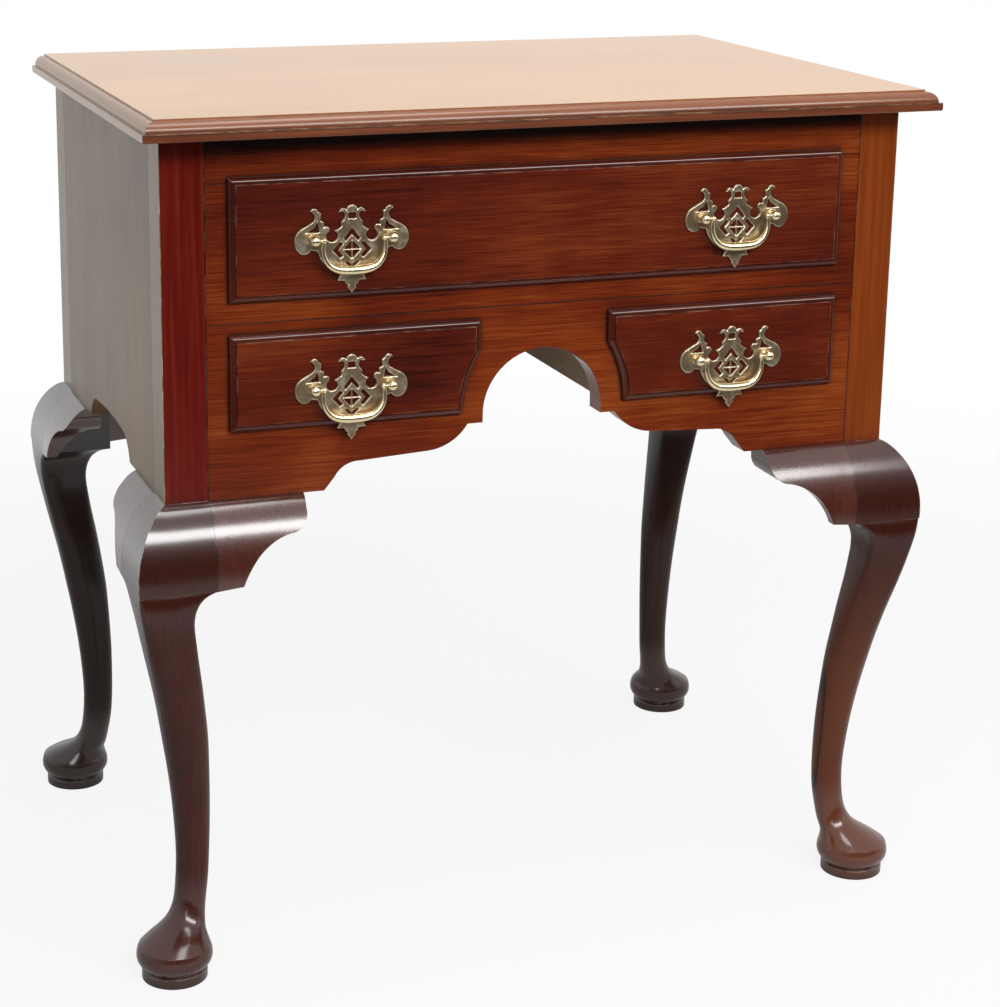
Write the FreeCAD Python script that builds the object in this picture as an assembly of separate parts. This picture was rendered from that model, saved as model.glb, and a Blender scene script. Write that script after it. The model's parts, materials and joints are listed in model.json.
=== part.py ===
import FreeCAD, Part
import math
import os

# Lowboy: a moulded top on a case with one long drawer over two short shaped
# drawers that flank an arched apron, on four cabriole legs with pad feet.
# Millimetres. +X is to the right of someone facing the drawers, +Y runs to the
# back and +Z is up. The origin is on the floor, under the middle of the piece.

Vector = FreeCAD.Vector
os.makedirs("parts", exist_ok=True)

# ---------------------------------------------------------------- main sizes
overall_height = 711.0
top_thickness = 16.5
leg_height = 405.0          # floor to the underside of the case
case_width = 633.0
case_depth = 404.0
top_overhang_front = 36.0
top_overhang_side = 20.0
top_overhang_back = 3.0

# ------------------------------------------------------------- case joinery
post_size = 35.0            # square post that runs up from each leg
side_thickness = 14.0
rail_thickness = 22.0
back_thickness = 10.0
back_set_in = 2.0           # back board inside the rear face of the posts
tenon_length = 20.0
tenon_thickness = 8.0
tenon_shoulder = 6.0        # wood left above and below each tenon
tenon_set_in = 7.0          # tenon cheek behind the front face
tongue_length = 9.0
tongue_thickness = 6.0
tongue_set_in = 4.0
joint_gap = 0.05            # glue line all round a tenon or tongue

# ------------------------------------------------- front boards and openings
# Heights in the front are shares of the case's height, from its underside to
# the top board, so that a taller or lower case keeps its proportions.
case_height = overall_height - top_thickness - leg_height
top_rail_height = 0.133 * case_height
apron_height = 0.487 * case_height
drawer_rail_height = 0.076 * case_height   # wood of the middle board under the long drawer
lower_opening_height = 0.233 * case_height
lower_opening_drop = 0.047 * case_height   # apron wood left above the lower openings
stile_width = 22.5          # wood left between a post and an opening

# ------------------------------------------------------------ apron's outline
# Points are (distance from the middle, height above the case's underside) as
# shares of the apron's height.
arch_radius = 0.368 * apron_height
arch_spring_height = 0.372 * apron_height
step_height = 0.321 * apron_height         # small flat step at each foot of the arch
step_width = 0.092 * apron_height
cove_middle = (0.535, 0.240)
cove_end = (0.690, 0.181)
run_end = (1.113, 0.158)
round_middle = (1.204, 0.135)
round_end = (1.262, 0.073)
apron_return = 1.322

# ------------------------------------------- lower drawer's hollow inner edge
lower_inner_top = 0.394 * apron_height     # lip to the middle, above the hollow
lower_inner_foot = 0.500 * apron_height    # the same at the foot of the drawer
lower_hollow_radius = 0.668 * apron_height

# --------------------------------------------------------- side panel outline
side_rise = 23.5            # raised middle of the lower edge
side_shoulder = (58.3, 20.5)  # distance from the middle, height of the rise
side_bend = (70.9, 12.6)
side_foot = 78.0

# ------------------------------------------------------------------- drawers
lip_overlap = 5.0
lip_thickness = 5.2
lip_round = 4.0
field_inset = 5.4
field_raise = 1.2
running_gap = 0.3           # between a closed drawer and the wood round it
front_clearance = 1.0       # drawer front inside its opening
front_body_depth = 14.0     # drawer front behind the lip
drawer_side_thickness = 9.0
drawer_side_drop = 4.0      # sides lower than the opening
drawer_back_drop = 4.0      # back lower than the sides
drawer_bottom_thickness = 6.0
drawer_bottom_raise = 6.0
groove_depth = 4.0
groove_gap = 0.1
drawer_end_gap = 10.0       # closed drawer to the back board
tail_length = 10.0
tail_share = 0.62           # tail's root as a share of the dovetail pitch
tail_slope = math.tan(math.radians(10.0))
tail_spacing = 29.0         # about this much height to each dovetail

# -------------------------------------------------- runners, guides, kickers
runner_width = 41.5
lower_runner_thickness = 10.0
guide_height = 12.0
kicker_height = 16.0
partition_thickness = 12.0
partition_gap = 0.5         # partition to the side of a lower drawer
inner_runner_width = 20.0
glue_block_size = 18.0
glue_block_length = 60.0

# ------------------------------------------------------------- cabriole legs
foot_inset = 2.0            # foot's axis inside the corner of the case
rear_rake = 12.2            # rear feet stand this much further back
knee_projection = 28.0      # fullest part of the knee beyond the case
knee_drop = 58.0            # fullest part of the knee below the crease
knee_fullness = 0.68        # lower is squarer at the shoulder
knee_curve_steps = 7
ear_depth = 66.0            # joint between a front leg and its ears
rear_ear_depth = 58.5       # the same on a rear leg
shank_sweep = 7.0           # shanks swing this much further to the front or back
shank_sweep_skew = 0.65     # lower brings the swing's fullest part nearer the knee
square_corner = 1.0         # corner radius where the shank is square
square_side_turn = 0.4      # degrees its side arcs turn each way there
round_side_turn = 22.5      # the same where the shank is round
# The shank's template below the ears: height as a share of the height to the
# ear's foot, outer face and inner face measured outward from the foot's axis
# (the same in X and Y), and roundness from 0, square, to 1, round.
shank_stations = [
    (1.0, 30.0, -33.0, 0.0),
    (0.993, 29.9, -27.0, 0.05),
    (0.979, 29.7, -21.0, 0.10),
    (0.957, 29.0, -17.2, 0.17),
    (0.924, 27.0, -15.8, 0.24),
    (0.883, 24.4, -17.5, 0.33),
    (0.83, 20.8, -20.5, 0.46),
    (0.756, 15.2, -25.0, 0.64),
    (0.681, 10.0, -28.7, 0.82),
    (0.607, 5.6, -31.8, 0.96),
    (0.533, 1.3, -33.3, 1.0),
    (0.444, -2.9, -34.4, 1.0),
    (0.356, -5.7, -34.6, 1.0),
    (0.281, -6.8, -34.0, 1.0),
    (0.207, -5.4, -32.2, 1.0),
    (0.163, -2.5, -29.9, 1.0),
]
# The shank's flare into the foot: height above the bulge, then as above.
flare_stations = [
    (25.0, 3.5, -28.5, 1.0),
    (18.0, 13.5, -27.5, 1.0),
    (13.0, 22.5, -28.2, 1.0),
    (8.0, 29.6, -29.6, 1.0),
]
foot_radius = 31.4
foot_bulge_height = 20.0
pad_radius = 27.0
pad_height = 7.5
pad_quirk = 2.0             # groove between the pad and the foot

cove_share = 0.924          # above this share the cove stretches to a rear leg's ears

# ------------------------------------------------------- ears (knee brackets)
ear_length = 78.0           # under the apron and the back
side_ear_length = 66.0
ear_gap = 0.05
ear_back_straight = 21.0    # back left square below the crease, then hollowed
ear_foot_thickness = 9.0    # wood left at the ear's foot
front_ear_hollow = 14.0     # depth of the hollow cut up the ear's back
side_ear_hollow = 4.0
# The scroll on each ear: shares of its length out from the leg and of its
# depth below the crease.
ear_nose_start = (0.985, 0.135)
ear_nose_middle = (0.945, 0.295)
ear_nose_end = (0.79, 0.39)
ear_neck_middle = (0.56, 0.50)
ear_neck_end = (0.42, 0.65)
ear_cove_middle = (0.335, 0.80)
ear_cusp = (0.27, 0.97)

# --------------------------------------------------------------- top moulding
top_band_height = 6.4
top_band_round = 1.2
ovolo_inset = 2.7
ovolo_run = 7.2
ovolo_rise = 8.5
top_fillet_inset = 11.1

# -------------------------------------------------------------------- brasses
handle_from_opening = 93.0  # handle's middle to the outer edge of an opening
long_handle_share = 0.485   # bail's axis as a share of the long drawer's height
lower_handle_share = 0.406  # the same on a lower drawer
bail_centres = 63.5
ball_radius = 4.6
ball_stand_off = 6.2
plate_thickness = 1.6
plate_hole_clearance = 0.1
shank_radius = 2.3
shank_clearance = 0.15
neck_radius = 2.6
collar_radius = 4.0
collar_thickness = 0.9
nut_size = 9.0
nut_thickness = 3.0
shank_end = 1.5             # shank past its nut
pin_radius = 1.3
pin_clearance = 0.05
pin_end_gap = 0.4
bail_knob_radius = 2.3

def share_between(low, high, share):
    return low + share * (high - low)


# ------------------------------------------------------------- derived levels
under_top = leg_height + case_height
half_width = case_width / 2
ear_foot = leg_height - ear_depth
foot_shoulder_height = foot_bulge_height + flare_stations[-1][0]
rear_reach = rear_rake - foot_inset + foot_radius
overall_depth = top_overhang_front + case_depth + max(rear_reach, top_overhang_back)
front = top_overhang_front - overall_depth / 2
back = front + case_depth
post_inner = half_width - post_size
rail_back = front + rail_thickness
back_face = back - back_set_in - back_thickness
top_rail_bottom = under_top - top_rail_height
apron_top = leg_height + apron_height
long_opening_bottom = apron_top + drawer_rail_height
lower_opening_top = apron_top - lower_opening_drop
lower_opening_bottom = lower_opening_top - lower_opening_height
opening_outer = post_inner - stile_width
lip_back = front - running_gap
field_front = lip_back - lip_thickness - field_raise
body_back = lip_back + front_body_depth
drawer_end = back_face - drawer_end_gap
handle_from_centre = opening_outer - handle_from_opening
long_handle_z = share_between(
    long_opening_bottom - lip_overlap, top_rail_bottom + lip_overlap, long_handle_share)
lower_handle_z = share_between(
    lower_opening_bottom - lip_overlap, lower_opening_top + lip_overlap, lower_handle_share)


# ------------------------------------------------------------- shape helpers
def box(x0, x1, y0, y1, z0, z1):
    low = Vector(min(x0, x1), min(y0, y1), min(z0, z1))
    return Part.makeBox(abs(x1 - x0), abs(y1 - y0), abs(z1 - z0), low)


def line(a, b):
    return Part.LineSegment(a, b).toShape()


def arc(a, middle, b):
    return Part.Arc(a, middle, b).toShape()


def polygon(points):
    return Part.makePolygon(points + [points[0]])


def slab_from(wire, thickness):
    return Part.Face(wire).extrude(thickness)


def mirrored(shape):
    return shape.mirror(Vector(0, 0, 0), Vector(1, 0, 0))


def front_points(points):
    """Turn (x, z) pairs into points of the case's front plane."""
    return [Vector(x, front, z) for x, z in points]


def keep(shape, node):
    shape.exportStep("parts/" + node + ".step")
    print(node, "solids", len(shape.Solids), "valid", shape.isValid())


# ------------------------------------------------------------------- the top
def top_edge_profile(outer, inward, place):
    """One moulded edge, from the underside up to the top surface.

    place(distance, height) makes a point; distance is measured from the
    middle of the top along one axis and inward is the sign that leads back
    to the middle."""
    band_top = under_top + top_band_height
    ovolo_start = outer + inward * ovolo_inset
    ovolo_stop = ovolo_start + inward * ovolo_run
    ovolo_top = band_top + ovolo_rise
    bend = math.sqrt(0.5)
    ovolo_middle = place(ovolo_stop - inward * ovolo_run * bend, band_top + ovolo_rise * bend)
    round_part = top_band_round * (1 - bend)
    low_round = place(outer + inward * round_part, under_top + round_part)
    band_foot = place(outer + inward * top_band_round, under_top)
    band_low = place(outer, under_top + top_band_round)
    fillet = outer + inward * top_fillet_inset
    return [
        arc(band_foot, low_round, band_low),
        line(band_low, place(outer, band_top)),
        line(place(outer, band_top), place(ovolo_start, band_top)),
        arc(place(ovolo_start, band_top), ovolo_middle, place(ovolo_stop, ovolo_top)),
        line(place(ovolo_stop, ovolo_top), place(fillet, ovolo_top)),
        line(place(fillet, ovolo_top), place(fillet, overall_height)),
    ]


def make_top():
    side = half_width + top_overhang_side
    y_front = front - top_overhang_front
    y_back = back + top_overhang_back

    def across(x, z):
        return Vector(x, y_front, z)

    def along(y, z):
        return Vector(-side, y, z)

    right = top_edge_profile(side, -1, across)
    left = top_edge_profile(-side, 1, across)
    low_reach = side - top_band_round
    high_reach = side - top_fillet_inset
    low = line(across(-low_reach, under_top), across(low_reach, under_top))
    high = line(across(-high_reach, overall_height), across(high_reach, overall_height))
    long_wire = Part.Wire(Part.__sortEdges__(left + right + [low, high]))
    long_shape = slab_from(long_wire, Vector(0, y_back - y_front, 0))

    nose = top_edge_profile(y_front, 1, along)
    rest = [
        line(along(y_front + top_band_round, under_top), along(y_back, under_top)),
        line(along(y_back, under_top), along(y_back, overall_height)),
        line(along(y_back, overall_height), along(y_front + top_fillet_inset, overall_height)),
    ]
    cross_wire = Part.Wire(Part.__sortEdges__(nose + rest))
    cross_shape = slab_from(cross_wire, Vector(2 * side, 0, 0))
    return long_shape.common(cross_shape)


# ---------------------------------------------------------------- the joints
def rail_tenons(z_low, z_high, gap):
    """Tenons on both ends of a front board; with a gap they cut the mortises."""
    tenons = []
    y0 = front + tenon_set_in - gap
    y1 = front + tenon_set_in + tenon_thickness + gap
    for side in (-1, 1):
        x0 = side * post_inner
        x1 = side * (post_inner + tenon_length + gap)
        tenons.append(box(x0, x1, y0, y1, z_low + tenon_shoulder - gap, z_high - tenon_shoulder + gap))
    return tenons


def side_tongues(gap):
    """Tongues on the front and back ends of both side panels."""
    tongues = []
    for side in (-1, 1):
        x0 = side * (half_width - tongue_set_in + gap)
        x1 = side * (half_width - tongue_set_in - tongue_thickness - gap)
        z0 = leg_height + tenon_shoulder - gap
        z1 = under_top - tenon_shoulder + gap
        y_front = front + post_size
        y_rear = back - post_size
        tongues.append(box(x0, x1, y_front - tongue_length - gap, y_front, z0, z1))
        tongues.append(box(x0, x1, y_rear, y_rear + tongue_length + gap, z0, z1))
    return tongues


def back_tongues(gap):
    tongues = []
    for side in (-1, 1):
        x0 = side * post_inner
        x1 = side * (post_inner + tongue_length + gap)
        z0 = leg_height + tenon_shoulder - gap
        y0 = back_face + (back_thickness - tongue_thickness) / 2 - gap
        tongues.append(box(x0, x1, y0, y0 + tongue_thickness + 2 * gap, z0, under_top))
    return tongues


def all_mortises():
    cutters = rail_tenons(top_rail_bottom, under_top, joint_gap)
    cutters += rail_tenons(apron_top, top_rail_bottom, joint_gap)
    for z_low, z_high in apron_tenon_levels():
        cutters += rail_tenons(z_low, z_high, joint_gap)
    cutters += side_tongues(joint_gap)
    cutters += back_tongues(joint_gap)
    return cutters


def apron_tenon_levels():
    """The deep apron has twin tenons, with wood between the mortises."""
    middle = leg_height + apron_height / 2
    return [(leg_height, middle), (middle, apron_top)]


# ------------------------------------------------------------------ the legs
def knee_profile(drop):
    """How far the knee stands beyond the case, this far below the crease."""
    share = min(drop / knee_drop, 1.0)
    return knee_projection * math.sin(math.pi / 2 * share ** knee_fullness)


def knee_curve(place, depth):
    """The knee's outward curve; place(out, z) makes a point."""
    points = []
    for step in range(knee_curve_steps + 1):
        drop = depth * (step / knee_curve_steps) ** 2
        points.append(place(knee_profile(drop), leg_height - drop))
    curve = Part.BSplineCurve()
    curve.interpolate(points)
    return curve.toShape()


def knee_blank(place, inside, depth, along):
    """The knee's section from its curve back to a flat inner face, extruded."""
    foot = leg_height - depth
    edges = [
        knee_curve(place, depth),
        line(place(knee_profile(depth), foot), place(-inside, foot)),
        line(place(-inside, foot), place(-inside, leg_height)),
        line(place(-inside, leg_height), place(0, leg_height)),
    ]
    return slab_from(Part.Wire(edges), along)


def shank_sections(foot_of_ears):
    """Height, middle, half width and roundness of the cabriole template."""
    stations = []
    for share, outer, inner, roundness in shank_stations:
        stretch = max(share - cove_share, 0.0) / (1 - cove_share)
        stations.append((share * ear_foot + stretch * (foot_of_ears - ear_foot), outer, inner, roundness))
    for above, outer, inner, roundness in flare_stations:
        stations.append((foot_bulge_height + above, outer, inner, roundness))
    return [(z, (outer + inner) / 2, (outer - inner) / 2, roundness)
            for z, outer, inner, roundness in stations]


def shank_shift(z, foot_of_ears, rake):
    """How far the shank stands to the front or back of its template here."""
    share = (foot_of_ears - z) / (foot_of_ears - foot_shoulder_height)
    share = min(max(share, 0.0), 1.0)
    lean = rake * (foot_of_ears - z) / (foot_of_ears - foot_shoulder_height)
    return min(lean, rake) + shank_sweep * math.sin(math.pi * share ** shank_sweep_skew)


def leg_section(centre_x, centre_y, z, half, roundness):
    """A closed outline of four side arcs and four corner arcs."""
    corner = share_between(square_corner, half, roundness)
    half_angle = math.radians(share_between(square_side_turn, round_side_turn, roundness))
    skew = math.cos(half_angle) - math.sin(half_angle)
    side_radius = (half - corner * skew) / (1 - skew)
    side_shift = half - side_radius
    corner_shift = side_shift + (side_radius - corner) * math.cos(half_angle)
    edges = []

    def on(angle, shift, heading, radius):
        x = centre_x + shift * math.cos(heading) + radius * math.cos(angle)
        y = centre_y + shift * math.sin(heading) + radius * math.sin(angle)
        return Vector(x, y, z)

    for quarter in range(4):
        heading = quarter * math.pi / 2
        diagonal = heading + math.pi / 4
        stop = heading + half_angle
        following = heading + math.pi / 2 - half_angle
        diagonal_shift = corner_shift * math.sqrt(2)
        edges.append(arc(on(heading - half_angle, side_shift, heading, side_radius),
                         on(heading, side_shift, heading, side_radius),
                         on(stop, side_shift, heading, side_radius)))
        edges.append(arc(on(stop, diagonal_shift, diagonal, corner),
                         on(diagonal, diagonal_shift, diagonal, corner),
                         on(following, diagonal_shift, diagonal, corner)))
    return Part.Wire(edges)


def bulb_arc(at, radius, z):
    """Arc from the foot's widest ring to a smaller one, upright at the widest."""
    rise = z - foot_bulge_height
    centre = (foot_radius ** 2 - radius ** 2 - rise ** 2) / (2 * (foot_radius - radius))
    half_turn = math.atan2(rise, radius - centre) / 2
    swell = foot_radius - centre
    middle = at(centre + swell * math.cos(half_turn), foot_bulge_height + swell * math.sin(half_turn))
    return arc(at(foot_radius, foot_bulge_height), middle, at(radius, z))


def turned_foot(axis_x, axis_y):
    """Pad foot, turned about the foot's axis: pad, quirk and bulb."""
    shoulder_radius = flare_stations[-1][1]
    quirk_radius = pad_radius - pad_quirk
    bulb_start = pad_height + pad_quirk

    def at(radius, z):
        return Vector(axis_x + radius, axis_y, z)

    edges = [
        line(at(0, 0), at(pad_radius, 0)),
        line(at(pad_radius, 0), at(pad_radius, pad_height)),
        line(at(pad_radius, pad_height), at(quirk_radius, bulb_start)),
        bulb_arc(at, quirk_radius, bulb_start),
        bulb_arc(at, shoulder_radius, foot_shoulder_height),
        line(at(shoulder_radius, foot_shoulder_height), at(0, foot_shoulder_height)),
        line(at(0, foot_shoulder_height), at(0, 0)),
    ]
    profile = Part.Face(Part.Wire(Part.__sortEdges__(edges)))
    return profile.revolve(Vector(axis_x, axis_y, 0), Vector(0, 0, 1), 360)


def make_leg(side, rear):
    """One leg: square post, knee, cabriole shank and turned foot in one block."""
    sign_y = 1 if rear else -1
    corner_x = side * half_width
    corner_y = back if rear else front
    axis_x = corner_x - side * foot_inset
    axis_y = corner_y - sign_y * foot_inset
    rake = rear_rake if rear else 0.0
    depth = rear_ear_depth if rear else ear_depth
    foot_of_ears = leg_height - depth
    reach = post_size + 2 * knee_projection

    def beside(out, z):
        return Vector(corner_x + side * out, corner_y - sign_y * post_size, z)

    def before(out, z):
        return Vector(corner_x - side * post_size, corner_y + sign_y * out, z)

    knee = knee_blank(beside, post_size, depth, Vector(0, sign_y * reach, 0))
    knee = knee.common(knee_blank(before, post_size, depth, Vector(side * reach, 0, 0)))
    sections = []
    for z, middle, half, roundness in shank_sections(foot_of_ears):
        centre_y = axis_y + sign_y * (middle + shank_shift(z, foot_of_ears, rake))
        sections.append(leg_section(axis_x + side * middle, centre_y, z, half, roundness))
    shank = Part.makeLoft(sections, True, False)
    foot = turned_foot(axis_x, axis_y + rake)
    post = box(corner_x, corner_x - side * post_size, corner_y, corner_y - sign_y * post_size,
               leg_height, under_top)
    leg = post.fuse([knee, shank, foot])
    for cutter in all_mortises():
        leg = leg.cut(cutter)
    return leg


# ------------------------------------------------------------------ the ears
def ear_outline(place, length, depth):
    """The scrolled outline; place(out, drop) makes a point."""
    def at(share):
        return place(share[0] * length, share[1] * depth)

    edges = [
        line(place(ear_gap, 0), place(length, 0)),
        line(place(length, 0), at(ear_nose_start)),
        arc(at(ear_nose_start), at(ear_nose_middle), at(ear_nose_end)),
        arc(at(ear_nose_end), at(ear_neck_middle), at(ear_neck_end)),
        arc(at(ear_neck_end), at(ear_cove_middle), at(ear_cusp)),
        line(at(ear_cusp), place(ear_gap, depth)),
        line(place(ear_gap, depth), place(ear_gap, 0)),
    ]
    return Part.Wire(edges)


def ear_blank(place, thickness, hollow, depth, along):
    """The knee's section, flush with the board above and hollowed behind."""
    foot = leg_height - depth
    foot_out = knee_profile(depth) - ear_foot_thickness
    across = foot_out + thickness
    rise = depth - ear_back_straight
    chord = math.hypot(across, rise)
    hollow_start = place(-thickness, leg_height - ear_back_straight)
    hollow_middle = place((foot_out - thickness) / 2 + hollow * rise / chord,
                          foot + rise / 2 + hollow * across / chord)
    edges = [
        knee_curve(place, depth),
        line(place(knee_profile(depth), foot), place(foot_out, foot)),
        arc(place(foot_out, foot), hollow_middle, hollow_start),
        line(hollow_start, place(-thickness, leg_height)),
        line(place(-thickness, leg_height), place(0, leg_height)),
    ]
    return slab_from(Part.Wire(edges), along)


def make_front_ear():
    """The right-hand ear under the apron; the left one is its mirror image."""

    def section(out, z):
        return Vector(0, front - out, z)

    def place(out, drop):
        return Vector(post_inner - out, front - 2 * knee_projection, leg_height - drop)

    blank = ear_blank(section, rail_thickness, front_ear_hollow, ear_depth, Vector(post_inner, 0, 0))
    outline = ear_outline(place, ear_length, ear_depth)
    return blank.common(slab_from(outline, Vector(0, 2 * knee_projection + rail_thickness, 0)))


def make_side_ear(rear):
    """A right-hand ear under the side panel, beside the front or rear leg."""
    joint = back - post_size if rear else front + post_size
    toward = -1 if rear else 1
    depth = rear_ear_depth if rear else ear_depth

    def section(out, z):
        return Vector(half_width + out, joint, z)

    def place(out, drop):
        return Vector(half_width + 2 * knee_projection, joint + toward * out, leg_height - drop)

    along = Vector(0, toward * 2 * side_ear_length, 0)
    blank = ear_blank(section, side_thickness, side_ear_hollow, depth, along)
    outline = ear_outline(place, side_ear_length, depth)
    return blank.common(slab_from(outline, Vector(-2 * knee_projection - side_thickness, 0, 0)))


def make_back_ear():
    """The right-hand ear under the back board, left square behind."""

    def section(out, z):
        return Vector(0, back + out, z)

    def place(out, drop):
        return Vector(post_inner - out, back_face, leg_height - drop)

    blank = knee_blank(section, back - back_face, rear_ear_depth, Vector(post_inner, 0, 0))
    outline = ear_outline(place, ear_length, rear_ear_depth)
    return blank.common(slab_from(outline, Vector(0, back - back_face + 2 * knee_projection, 0)))


# ---------------------------------------------------------- the case's boards
def rectangle_outline(x0, x1, z0, z1):
    return polygon(front_points([(x0, z0), (x1, z0), (x1, z1), (x0, z1)]))


def long_outline(inset):
    """The long drawer's lip, or an outline this far inside it."""
    reach = opening_outer + lip_overlap - inset
    low = long_opening_bottom - lip_overlap + inset
    high = top_rail_bottom + lip_overlap - inset
    return rectangle_outline(-reach, reach, low, high)


def lower_outline(inset):
    """The right-hand lower drawer's lip, or an outline this far inside it."""
    outer = opening_outer + lip_overlap - inset
    low = lower_opening_bottom - lip_overlap + inset
    high = lower_opening_top + lip_overlap - inset
    inner = lower_inner_top + inset
    radius = lower_hollow_radius + inset
    centre_x = lower_inner_foot - lower_hollow_radius
    centre_z = lower_opening_bottom - lip_overlap
    kink_z = centre_z + math.sqrt(radius ** 2 - (inner - centre_x) ** 2)
    foot_x = centre_x + math.sqrt(radius ** 2 - (low - centre_z) ** 2)
    kink_angle = math.atan2(kink_z - centre_z, inner - centre_x)
    foot_angle = math.atan2(low - centre_z, foot_x - centre_x)
    middle_angle = (kink_angle + foot_angle) / 2
    middle = (centre_x + radius * math.cos(middle_angle), centre_z + radius * math.sin(middle_angle))
    p = front_points([(outer, low), (outer, high), (inner, high), (inner, kink_z), middle, (foot_x, low)])
    edges = [line(p[0], p[1]), line(p[1], p[2]), line(p[2], p[3]), arc(p[3], p[4], p[5]), line(p[5], p[0])]
    return Part.Wire(edges)


def make_top_rail():
    rail = box(-post_inner, post_inner, front, rail_back, top_rail_bottom, under_top)
    return rail.fuse(rail_tenons(top_rail_bottom, under_top, 0.0)).removeSplitter()


def make_drawer_rail():
    """The middle board, U-shaped round the long drawer's opening."""
    board = box(-post_inner, post_inner, front, rail_back, apron_top, top_rail_bottom)
    board = board.fuse(rail_tenons(apron_top, top_rail_bottom, 0.0)).removeSplitter()
    opening = box(-opening_outer, opening_outer, front, rail_back, long_opening_bottom, top_rail_bottom)
    return board.cut(opening)


def apron_lower_edge():
    """Edges of the apron's lower outline, from the left post to the right."""
    spring = leg_height + arch_spring_height
    step = leg_height + step_height
    step_end = arch_radius + step_width

    def place(side, point):
        return Vector(side * point[0] * apron_height, front, leg_height + point[1] * apron_height)

    edges = []
    for side in (-1, 1):
        foot = Vector(side * post_inner, front, leg_height)
        turn = place(side, (apron_return, 0.0))
        step_outer = Vector(side * step_end, front, step)
        step_inner = Vector(side * arch_radius, front, step)
        edges += [
            line(foot, turn),
            line(turn, place(side, round_end)),
            arc(place(side, round_end), place(side, round_middle), place(side, run_end)),
            line(place(side, run_end), place(side, cove_end)),
            arc(place(side, cove_end), place(side, cove_middle), step_outer),
            line(step_outer, step_inner),
            line(step_inner, Vector(side * arch_radius, front, spring)),
        ]
    crown = Vector(0, front, spring + arch_radius)
    edges.append(arc(Vector(-arch_radius, front, spring), crown, Vector(arch_radius, front, spring)))
    return edges


def make_apron():
    edges = apron_lower_edge()
    corners = front_points([(post_inner, leg_height), (post_inner, apron_top),
                            (-post_inner, apron_top), (-post_inner, leg_height)])
    edges += [line(corners[0], corners[1]), line(corners[1], corners[2]), line(corners[2], corners[3])]
    board = slab_from(Part.Wire(Part.__sortEdges__(edges)), Vector(0, rail_thickness, 0))
    for z_low, z_high in apron_tenon_levels():
        board = board.fuse(rail_tenons(z_low, z_high, 0.0))
    opening = slab_from(lower_outline(lip_overlap), Vector(0, rail_thickness, 0))
    return board.cut([opening, mirrored(opening)]).removeSplitter()


def make_side_panel():
    """The right-hand side panel, with its shaped lower edge."""
    middle = (front + back) / 2
    y0 = front + post_size
    y1 = back - post_size
    low = leg_height
    x = half_width

    def at(y, z):
        return Vector(x, y, z)

    edges = [line(at(y0, low), at(y0, under_top)), line(at(y0, under_top), at(y1, under_top)),
             line(at(y1, under_top), at(y1, low))]
    shoulders = []
    for side in (-1, 1):
        foot = at(middle + side * side_foot, low)
        bend = at(middle + side * side_bend[0], low + side_bend[1])
        shoulder = at(middle + side * side_shoulder[0], low + side_shoulder[1])
        edges += [line(at(y1 if side > 0 else y0, low), foot), arc(foot, bend, shoulder)]
        shoulders.append(shoulder)
    edges.append(arc(shoulders[0], at(middle, low + side_rise), shoulders[1]))
    panel = slab_from(Part.Wire(Part.__sortEdges__(edges)), Vector(-side_thickness, 0, 0))
    right_tongues = [t for t in side_tongues(0.0) if t.BoundBox.Center.x > 0]
    return panel.fuse(right_tongues).removeSplitter()


def make_back_board():
    board = box(-post_inner, post_inner, back_face, back_face + back_thickness, leg_height, under_top)
    return board.fuse(back_tongues(0.0)).removeSplitter()


# ---------------------------------------------- what carries the drawers inside
def inside_strip(x0, x1, z0, z1):
    """A strip along the case, from the front boards to the back board."""
    return box(x0, x1, rail_back, back_face, z0, z1)


def make_runner():
    """Deep runner: the long drawer slides on it, a lower drawer under it."""
    return inside_strip(post_inner - runner_width, post_inner, lower_opening_top, long_opening_bottom)


def make_guide(floor):
    return inside_strip(opening_outer, post_inner, floor, floor + guide_height)


def make_kicker():
    return inside_strip(post_inner - runner_width, post_inner,
                        top_rail_bottom, top_rail_bottom + kicker_height)


def make_lower_runner():
    return inside_strip(post_inner - runner_width, post_inner,
                        lower_opening_bottom - lower_runner_thickness, lower_opening_bottom)


def lower_box_inner():
    """Inner face of a lower drawer's box, from the foot of its opening."""
    return lower_inner_foot + lip_overlap + front_clearance


def make_partition():
    face = lower_box_inner() - partition_gap
    return inside_strip(face - partition_thickness, face,
                        lower_opening_bottom - lower_runner_thickness, lower_opening_top)


def make_inner_runner():
    face = lower_box_inner() - partition_gap
    return inside_strip(face, face + inner_runner_width,
                        lower_opening_bottom - lower_runner_thickness, lower_opening_bottom)


def make_glue_blocks():
    """Blocks that hold the top to the rail, the side panels and the back."""
    z0 = under_top - glue_block_size
    half = glue_block_length / 2
    middle = (front + back) / 2
    inner_side = half_width - side_thickness
    blocks = []
    for x in (-post_inner / 2, 0.0, post_inner / 2):
        blocks.append(box(x - half, x + half, rail_back, rail_back + glue_block_size, z0, under_top))
        blocks.append(box(x - half, x + half, back_face - glue_block_size, back_face, z0, under_top))
    for side in (-1, 1):
        for y in (middle - case_depth / 6, middle + case_depth / 6):
            x0 = side * (inner_side - glue_block_size)
            blocks.append(box(x0, side * inner_side, y - half, y + half, z0, under_top))
    return Part.makeCompound(blocks)


# --------------------------------------------------------------- the drawers
def tail_prisms(x0, x1, z0, z1, root_y, tip_y):
    """Dovetail tails between two levels, widening from root_y to tip_y."""
    count = max(1, round((z1 - z0) / tail_spacing))
    pitch = (z1 - z0) / count
    half_root = pitch * tail_share / 2
    half_tip = half_root + abs(tip_y - root_y) * tail_slope
    tails = []
    for index in range(count):
        z = z0 + pitch * (index + 0.5)
        corners = [Vector(x0, root_y, z - half_root), Vector(x0, tip_y, z - half_tip),
                   Vector(x0, tip_y, z + half_tip), Vector(x0, root_y, z + half_root)]
        tails.append(slab_from(polygon(corners), Vector(x1 - x0, 0, 0)))
    return tails


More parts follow.
